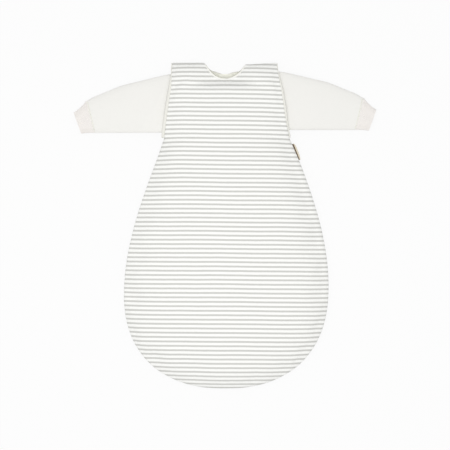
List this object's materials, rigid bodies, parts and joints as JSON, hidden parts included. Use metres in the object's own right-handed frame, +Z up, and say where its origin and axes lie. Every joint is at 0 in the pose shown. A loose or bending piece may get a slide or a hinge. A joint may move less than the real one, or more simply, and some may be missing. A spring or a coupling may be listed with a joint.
{
  "type": "baby sleeping bag",
  "caption": "Two-layer baby sleeping bag: a padded, striped, sleeveless outer bag with a zip down its back, worn over a thin inner bag whose long cuffed sleeves come out of its armholes.",
  "frame": {"origin": "middle of the footprint, on the surface that the bag lies on", "axes": "the bag lies on its back: +Y towards the head, +Z up out of the front, +X towards the wearer's left"},
  "size_m": [0.595, 0.64, 0.0421],
  "materials": {
    "outer_jersey": "knitted cotton with narrow woven-in grey and off-white stripes",
    "wadding": "loose polyester fill",
    "lining": "plain cream cotton jersey",
    "outer_binding": "plain greige jersey binding",
    "zip_tape": "woven polyester tape",
    "zip_plastic": "moulded plastic, satin",
    "zip_metal": "light enamelled zinc",
    "inner_jersey": "thin plain off-white cotton jersey",
    "inner_trim": "doubled plain cotton jersey",
    "stud_plastic": "moulded plastic, satin",
    "rib": "doubled ribbed cotton",
    "tag_ribbon": "woven brown ribbon with cream edges"
  },
  "bodies": {
    "bag": {"front_shell": "outer_jersey", "front_wadding": "wadding", "front_lining": "lining", "left_back_shell": "outer_jersey", "left_back_wadding": "wadding", "left_back_lining": "lining", "right_back_shell": "outer_jersey", "right_back_wadding": "wadding", "right_back_lining": "lining", "front_neck_binding": "outer_binding", "back_neck_binding": "outer_binding", "left_armhole_binding": "outer_binding", "right_armhole_binding": "outer_binding", "left_zip_tape": "zip_tape", "right_zip_tape": "zip_tape", "left_zip_teeth": "zip_plastic", "right_zip_teeth": "zip_plastic", "zip_top_stops": "zip_plastic", "zip_bottom_stop": "zip_plastic", "zip_guard": "lining", "inner_front": "inner_jersey", "inner_back": "inner_jersey", "inner_placket": "inner_trim", "stud_caps": "stud_plastic", "stud_sockets": "stud_plastic", "inner_neck_binding": "inner_trim", "left_sleeve_head": "inner_jersey", "right_sleeve_head": "inner_jersey"},
    "left_sleeve": {"left_sleeve": "inner_jersey", "left_cuff": "rib"},
    "right_sleeve": {"right_sleeve": "inner_jersey", "right_cuff": "rib"},
    "slider": {"zip_slider": "zip_metal"},
    "puller": {"zip_puller": "zip_metal"},
    "tag": {"side_tag": "tag_ribbon"}
  },
  "joints": [
    {"name": "left_sleeve_fold", "type": "hinge", "parent": "bag", "child": "left_sleeve", "pos_m": [0.11644, 0.238, 0.0315], "axis": [0.1447, -0.9895, 0], "range_deg": [0, 170]},
    {"name": "right_sleeve_fold", "type": "hinge", "parent": "bag", "child": "right_sleeve", "pos_m": [-0.11644, 0.238, 0.0315], "axis": [0.1447, 0.9895, 0], "range_deg": [0, 135]},
    {"name": "zip_slide", "type": "slide", "parent": "bag", "child": "slider", "axis": [0, -1, 0], "range_m": [0, 0.423], "deforming": ["left_zip_teeth", "right_zip_teeth"]},
    {"name": "puller_swing", "type": "hinge", "parent": "slider", "child": "puller", "pos_m": [0, 0.291, 0.0017], "axis": [1, 0, 0], "range_deg": [0, 170]},
    {"name": "tag_flap", "type": "hinge", "parent": "bag", "child": "tag", "pos_m": [0.13453, 0.144, 0.015], "axis": [-0.3665, 0.9304, 0], "range_deg": [-50, 50]}
  ]
}
